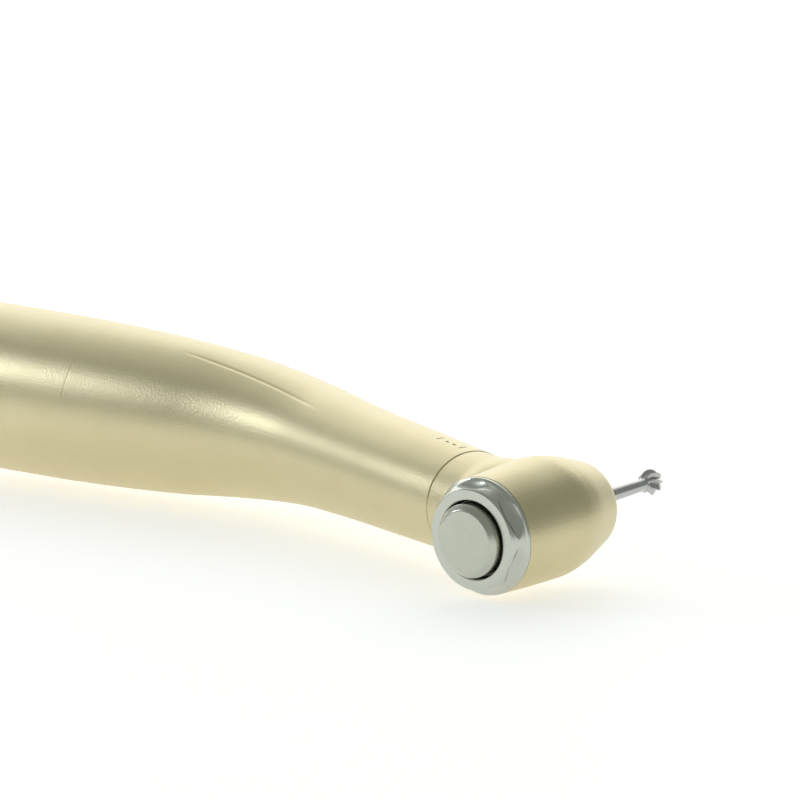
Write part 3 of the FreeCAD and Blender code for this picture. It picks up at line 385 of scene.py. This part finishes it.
def make_cap():
    """The cap: a turned outline, with lens-shaped scallops ground into its flank.

    The lens is as wide as one minus the square of the angle from its middle; inside it the
    radius drops by the square of that width minus the square of the place along the flank.
    """
    front, rear = -7.6, -6.08
    outline = fine_outline([
        (-6.9, 3.52), (front + 0.12, 3.52), (front, 3.62), (front, 4.5), (front + 0.16, 4.62),
        (rear - 0.12, 5.12), (rear - 0.02, 5.3), (-5.84, 5.3), (-5.82, 5.2), (-5.82, 4.0)],
        0.05, 0.06)
    angles = np.linspace(0, 2 * math.pi, 720, endpoint=False)
    stations, base = outline.T
    step = 2 * math.pi / SCALLOPS
    turn = (angles - FIRST_SCALLOP + step / 2) % step - step / 2
    width = np.clip(1 - (turn / (0.47 * step)) ** 2, 0, None)
    place = (stations - (front + rear) / 2 - 0.03) / (0.5 * (rear - front) - 0.07)
    drop = 0.6 * np.clip(width[None] ** 2 - place[:, None] ** 2, 0, None)
    drop[base < 4.55] = 0
    cap = head_revolved("cap_shell", stations, base[:, None] - drop, angles, MATERIALS["cap"])
    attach(cap, "housing")
    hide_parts("head_cap")


def make_button():
    """The push button: a turned outline with a round edge and a flat face, all in one satin steel
    finish.
    """
    outline = fine_outline([
        (-8.55, 0.0), (-8.55, 2.82), (-8.15, 3.3), (-6.8, 3.34), (-6.8, 3.38), (-6.45, 3.38),
        (-6.45, 1.7), (-7.36, 1.7), (-7.36, 0.0)], 0.06, 0.12)
    angles = np.linspace(0, 2 * math.pi, 360, endpoint=False)
    stations, base = outline.T
    base = np.maximum(base, 0.0005)
    button = head_revolved("button_shell", stations, np.repeat(base[:, None], 360, 1), angles,
                           MATERIALS["button"])
    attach(button, "button")
    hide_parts("push_button")


def make_bur():
    """The bur: shank, taper and neck, and a ball cut into raked blades.

    Along the ball the radius is that of a circle.  Round it, the radius falls from each blade's
    edge by a rising share of a tooth, and the teeth lean with the place along the ball.
    """
    tip, ball, neck = 20.65, 1.25, 0.6
    centre = tip - ball
    reach = math.asin(neck / ball)
    shank = fine_outline([
        (-0.35, 0.0), (-0.35, 0.65), (-0.2, 0.8), (9.4, 0.8), (10.1, 0.7),
        (centre - ball * math.cos(reach), neck)], 0.12, 0.05)
    around = np.linspace(reach, math.pi, 60)[1:]
    round_part = np.stack([centre - ball * np.cos(around), ball * np.sin(around)], -1)
    stations, base = np.vstack([shank, round_part]).T
    base = np.maximum(base, 0.0005)
    angles = np.linspace(0, 2 * math.pi, 320, endpoint=False)
    lean = 0.35 * (stations - centre) / ball
    tooth = (8 * (angles[None, :] + lean[:, None]) / (2 * math.pi)) % 1.0
    depth = np.where(tooth < 0.3, tooth / 0.3, ((1 - tooth) / 0.7) ** 1.4)
    on_ball = np.clip((stations - centre + 0.95 * ball) / (0.25 * ball), 0, 1)[:, None]
    tip_fade = np.clip((tip - stations) / 0.12, 0, 1)[:, None]
    radii = base[:, None] * (1 - 0.34 * (1 - depth) * on_ball * tip_fade)
    bur = head_revolved("bur_shape", stations, radii, angles, MATERIALS["bur"])
    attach(bur, "bur")
    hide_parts("bur")


# ------------------------------------------------------------------ head housing

HEAD_PROFILE = fine_outline([
    (-5.8, 5.32), (-2.0, 5.52), (2.6, 5.66), (4.6, 5.3), (8.5, 4.1), (9.5, 3.1), (9.8, 2.0)],
    0.1, 0.8)
STUB_RADIUS = 4.9
STUB_CUT = 7.8


def head_radii(stations, angles):
    """Radius of the head where it runs into the neck stub.

    The body is the union of the turned head and of a rod round the neck's axis that ends at a
    plane.  The union is softened, the more so the further it lies towards the neck.  Each
    point is found on its ray from the head's axis by halving an interval that holds the
    surface, for all rays at once.
    """
    profile = np.interp(stations, *HEAD_PROFILE.T)[:, None]
    neck_across, neck_along = math.cos(NECK_ANGLE), -math.sin(NECK_ANGLE)
    softness = 1.9
    low = np.zeros((len(stations), len(angles)))
    high = low + 14.0
    for _ in range(30):
        middle = (low + high) / 2
        back = -middle * np.cos(angles)
        reach = back * neck_across - stations[:, None] * neck_along
        side = back * neck_along + stations[:, None] * neck_across
        from_rod = np.hypot(side, middle * np.sin(angles)) - STUB_RADIUS
        from_rod = np.maximum(from_rod, np.maximum(reach - STUB_CUT, -reach))
        from_head = middle - profile
        overlap = np.clip(1 - np.abs(from_rod - from_head) / softness, 0, None)
        overlap *= smooth_step((reach - 0.5) / 5.0)
        value = np.minimum(from_rod, from_head) - overlap ** 2 * softness / 4
        low = np.where(value < 0, middle, low)
        high = np.where(value < 0, high, middle)
    return low


def make_head():
    """The head housing: the blended body as rays from its axis, and the end of the neck stub."""
    stations = np.unique(np.concatenate([np.arange(-5.8, 9.8, 0.1), HEAD_PROFILE[-12:, 0]]))
    angles = np.linspace(0, 2 * math.pi, 560, endpoint=False)
    radii = head_radii(stations, angles)
    rear = radii[:1] * np.array([0.8, 0.99])[:, None]
    nose = radii[-1:] * np.array([0.97, 0.74])[:, None]
    radii = np.concatenate([rear, radii, nose])
    stations = np.concatenate([[-5.8, -5.8], stations, [9.8, 9.8]])
    head = head_revolved("head_shell", stations, radii, angles, MATERIALS["champagne"])
    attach(head, "housing")
    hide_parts("head_housing")

    outline = fine_outline([(7.3, STUB_RADIUS + 0.003), (8.95, STUB_RADIUS + 0.003),
                            (9.02, STUB_RADIUS - 0.1), (9.02, 4.0)], 0.1, 0.03)
    around = np.linspace(0, 2 * math.pi, 480, endpoint=False)
    back = -NECK_FORWARD
    side = np.cross(back, (0.0, 0.0, 1.0))
    ring = np.cos(around)[:, None] * side + np.sin(around)[:, None] * np.array((0.0, 0.0, 1.0))
    points = (HEAD_CENTRE + MM * (outline[:, 0, None, None] * back
                                  + outline[:, 1, None, None] * ring[None]))
    stub = grid_object("head_stub", points, MATERIALS["champagne"], wrapped=True)
    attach(stub, "housing")


# ------------------------------------------------------------------ neck sleeve

CROSSING_X = 0.052770
CROSSING_STATION = 0.046640
BEND_REACH = 0.0105
BEND_RADIUS = BEND_REACH / math.tan(NECK_ANGLE / 2)
BEND_START = CROSSING_X - BEND_REACH
BEND_LENGTH = BEND_RADIUS * NECK_ANGLE
SLEEVE_START = 0.017
COLLAR = 0.00905
SLEEVE_END = BEND_START + BEND_LENGTH + CROSSING_STATION - BEND_REACH - COLLAR

SLEEVE_RADII = np.array([
    (17.0, 9.6), (22.0, 9.45), (27.0, 9.24), (32.0, 8.97), (37.0, 8.64), (42.27, 8.22),
    (47.48, 7.7), (52.68, 7.15), (57.89, 6.63), (63.09, 6.18), (68.23, 5.84), (73.73, 5.58),
    (79.23, 5.38), (84.73, 5.18), (90.18, 4.95)])
SLEEVE_CURVE = np.polynomial.Polynomial.fit(SLEEVE_RADII[:, 0], SLEEVE_RADII[:, 1], 7)


def sleeve_line(along):
    """Centre line of the sleeve and its downward side, at a length from the origin.

    Straight along the handle, then an arc, then straight along the neck.
    """
    turned = np.clip((along - BEND_START) / BEND_LENGTH, 0, 1) * NECK_ANGLE
    before = np.minimum(along, BEND_START)
    after = np.maximum(along - BEND_START - BEND_LENGTH, 0)
    x = before + BEND_RADIUS * np.sin(turned) + after * math.cos(NECK_ANGLE)
    y = -BEND_RADIUS * (1 - np.cos(turned)) - after * math.sin(NECK_ANGLE)
    centre = np.stack([x, y, 0 * x], -1)
    side = np.stack([-np.sin(turned), -np.cos(turned), 0 * x], -1)
    return centre, side


def sleeve_radius(along, angles):
    """Radius of the sleeve, with the two grip panels and the fine seam ring.

    Each panel lies a little lower than the rest, with a short slope at its edge, and fades out
    at both ends.  Angles run from +Z towards the side that the head bends to.
    """
    radius = SLEEVE_CURVE(along / MM)[:, None] + 0 * angles[None, :]
    off = np.abs((angles + math.pi / 2) % math.pi - math.pi / 2)[None, :]
    place = (along / MM)[:, None]
    edge = np.radians(19.0 + 0.45 * (np.clip(place, 38.0, 68.0) - 42.0))
    fade = smooth_step((place - 39.0) / 7.0) * smooth_step((67.0 - place) / 7.0)
    past = (off - edge) * radius
    radius = radius - 0.07 * fade * smooth_step(0.5 - past / 0.5)
    radius = radius - 0.10 * fade * np.exp(-(past / 0.2) ** 2)
    seam = np.exp(-((place - 26.8) / 0.07) ** 2)
    return (radius - 0.02 * seam) * MM


def sleeve_surface(along, angles, lift=0.0):
    centre, side = sleeve_line(along)
    up = np.array((0.0, 0.0, 1.0))
    out = (np.cos(angles)[None, :, None] * up + np.sin(angles)[None, :, None] * side[:, None, :])
    return centre[:, None, :] + (sleeve_radius(along, angles) + lift)[..., None] * out


def make_neck_sleeve():
    """The neck sleeve: circles across a bent centre line, turned in at both ends."""
    seam = np.arange(26.5, 27.1, 0.025) * MM
    along = np.unique(np.concatenate([np.arange(SLEEVE_START, SLEEVE_END, 0.00036), seam,
                                      [SLEEVE_START + 0.00003, SLEEVE_END - 0.00006]]))
    edges = np.radians(np.concatenate([
        [base + way * span for base in (0, 180) for way in (-1, 1) for span in
         np.arange(13.0, 34.0, 0.6)]]))
    angles = np.unique(np.concatenate([np.linspace(0, 2 * math.pi, 220, endpoint=False),
                                       edges % (2 * math.pi)]).round(7))
    skin = sleeve_surface(along, angles)
    front_centre, rear_centre = (sleeve_line(np.array([end]))[0][0]
                                 for end in (SLEEVE_END, SLEEVE_START))
    front = skin[-1] + (front_centre - skin[-1]) * np.array([0.02, 0.16])[:, None, None]
    front += np.array(NECK_FORWARD) * 0.00005
    rear = skin[0] + (rear_centre - skin[0]) * np.array([0.16, 0.0015])[:, None, None]
    rear -= np.array(HANDLE_AXIS) * 0.00001
    sleeve = grid_object("neck_shell", np.concatenate([rear, skin, front]),
                         MATERIALS["champagne"], wrapped=True)
    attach(sleeve, "housing")
    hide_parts("neck_sleeve")


def make_rear_sleeve():
    """The rear sleeve: a turned skin that swells a little towards the coupling.

    The radius is a cubic of the length that meets the neck sleeve's radius and slope.
    """
    start, end = 3.0, SLEEVE_START / MM - 0.004
    along = np.linspace(start, end, 60)
    share = (along - start) / (end - start)
    meet, slope = SLEEVE_CURVE(end), SLEEVE_CURVE.deriv()(end) * (end - start)
    first = 9.85
    radius = (first + (3 * (meet - first) - slope) * share ** 2
              + (slope - 2 * (meet - first)) * share ** 3)
    along = np.concatenate([[start, start, start + 0.08, start + 0.11], along[1:-1],
                            [end - 0.03, end, end]])
    radius = np.concatenate([[8.7, 9.77, 9.845, 9.85], radius[1:-1],
                             [radius[-1], radius[-1], 8.7]])
    angles = np.linspace(0, 2 * math.pi, 360, endpoint=False)
    ring = np.stack([0 * angles, np.cos(angles), np.sin(angles)], -1)
    points = MM * (along[:, None, None] * np.array(HANDLE_AXIS) + radius[:, None, None] * ring)
    sleeve = grid_object("rear_shell", points, MATERIALS["champagne"], wrapped=True)
    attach(sleeve, "housing")
    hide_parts("rear_sleeve")


def make_etched_ticks():
    """Four short plain strokes etched on the neck, lying on the sleeve's surface."""
    strokes = ((88.6, -1.0, 0.16, 9.0), (87.3, 0.5, 0.5, 2.4), (86.1, 0.5, 0.5, 2.4),
               (84.6, -1.0, 0.16, 9.0))
    for number, (station, middle, length, spread) in enumerate(strokes, start=1):
        along = np.linspace(station - length / 2, station + length / 2, 6) * MM
        angles = np.radians(np.linspace(middle - spread / 2, middle + spread / 2, 10))
        tick = grid_object("etched_tick_%d" % number, sleeve_surface(along, angles, 0.000008),
                           MATERIALS["etched"])
        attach(tick, "housing")


make_cap()
make_button()
make_bur()
make_head()
make_neck_sleeve()
make_rear_sleeve()
make_etched_ticks()


# ------------------------------------------------------------------ floor, light and camera

FLOOR_NORMAL = Vector((-0.041, 0.080, 0.996)).normalized()


def lowest_along(normal):
    """The lowest reach of the object along a direction, over all its CAD nodes."""
    lowest = math.inf
    for node in frame["nodes"].values():
        places = np.empty(len(node.data.vertices) * 3)
        node.data.vertices.foreach_get("co", places)
        lowest = min(lowest, float((places.reshape(-1, 3) @ np.array(normal)).min()))
    return lowest


def pale_floor():
    """Plain pale ground that glows a little, and fully from the bend of the sweep upwards."""
    material, tree, shader = new_material("pale_floor", (0.86, 0.86, 0.85), 0.0, 0.6)
    place = tree.add("ShaderNodeTexCoord").outputs["Object"]
    away = tree.add("ShaderNodeVectorMath", operation="LENGTH")
    tree.join(place, away.inputs[0])
    glow = tree.add("ShaderNodeMapRange")
    tree.join(away.outputs["Value"], glow.inputs["Value"])
    glow.inputs["From Min"].default_value = 0.15
    glow.inputs["From Max"].default_value = 1.2
    glow.inputs["To Min"].default_value = 0.52
    glow.inputs["To Max"].default_value = 1.05
    tree.join(tree.mix(glow.outputs["Result"], (0.0, 0.0, 0.0, 1.0), (1.0, 1.0, 0.99, 1.0)),
              shader.inputs["Emission Color"])
    shader.inputs["Emission Strength"].default_value = 1.0
    shader.inputs["Specular IOR Level"].default_value = 0.1
    return material


def make_floor():
    """A floor that touches the handle and the head, and sweeps up behind them.

    The height is zero up to a line behind the object and then a quarter circle upwards.
    """
    up = np.array(FLOOR_NORMAL)
    back = np.array((-0.66, 0.75, 0.0))
    back -= up * (back @ up)
    back /= np.linalg.norm(back)
    side = np.cross(back, up)
    centre = np.array((0.06, 0.0, 0.0))
    centre += up * (lowest_along(FLOOR_NORMAL) - centre @ up - 0.00002)
    run, bend = 1.5, 1.2
    flat = np.linspace(-1.2, run, 12)
    angles = np.linspace(0, math.pi / 2, 24)[1:]
    along = np.concatenate([flat, run + bend * np.sin(angles), [run + bend]])
    height = np.concatenate([0 * flat, bend * (1 - np.cos(angles)), [bend + 1.5]])
    across = np.linspace(-2.5, 2.5, 12)
    points = (centre + along[:, None, None] * back + height[:, None, None] * up
              + across[None, :, None] * side)
    grid_object("floor", points, pale_floor())


def area_light(name, place, target, size, power, colour=(1.0, 1.0, 1.0)):
    light = bpy.data.lights.new(name, "AREA")
    light.shape = "RECTANGLE"
    light.size, light.size_y = size
    light.energy = power
    light.color = colour
    made = bpy.data.objects.new(name, light)
    made.location = place
    made.rotation_euler = (Vector(target) - Vector(place)).to_track_quat("-Z", "Y").to_euler()
    bpy.context.scene.collection.objects.link(made)


def make_lights():
    target = (0.06, -0.005, 0.0)
    area_light("back_softbox", (-0.3, 0.35, 0.6), target, (1.2, 0.9), 1.0)
    area_light("left_softbox", (-0.47, -0.29, 0.25), target, (0.08, 0.11), 0.46,
               (0.94, 1.0, 1.12))
    world = bpy.data.worlds.new("studio")
    bpy.context.scene.world = world
    world.use_nodes = True
    background = world.node_tree.nodes["Background"]
    background.inputs["Color"].default_value = (0.95, 1.0, 0.93, 1.0)
    background.inputs["Strength"].default_value = 0.33


def make_camera():
    camera = bpy.data.cameras.new("camera")
    camera.sensor_width = 36.0
    camera.lens = 105.17
    camera.clip_start = 0.01
    made = bpy.data.objects.new("camera", camera)
    made.location = (0.22416, -0.17435, 0.05245)
    made.rotation_euler = Euler(tuple(math.radians(a) for a in (78.636, 1.28, 41.377)))
    bpy.context.scene.collection.objects.link(made)
    bpy.context.scene.camera = made


make_floor()
make_lights()
make_camera()
bpy.context.scene.view_settings.view_transform = "Standard"
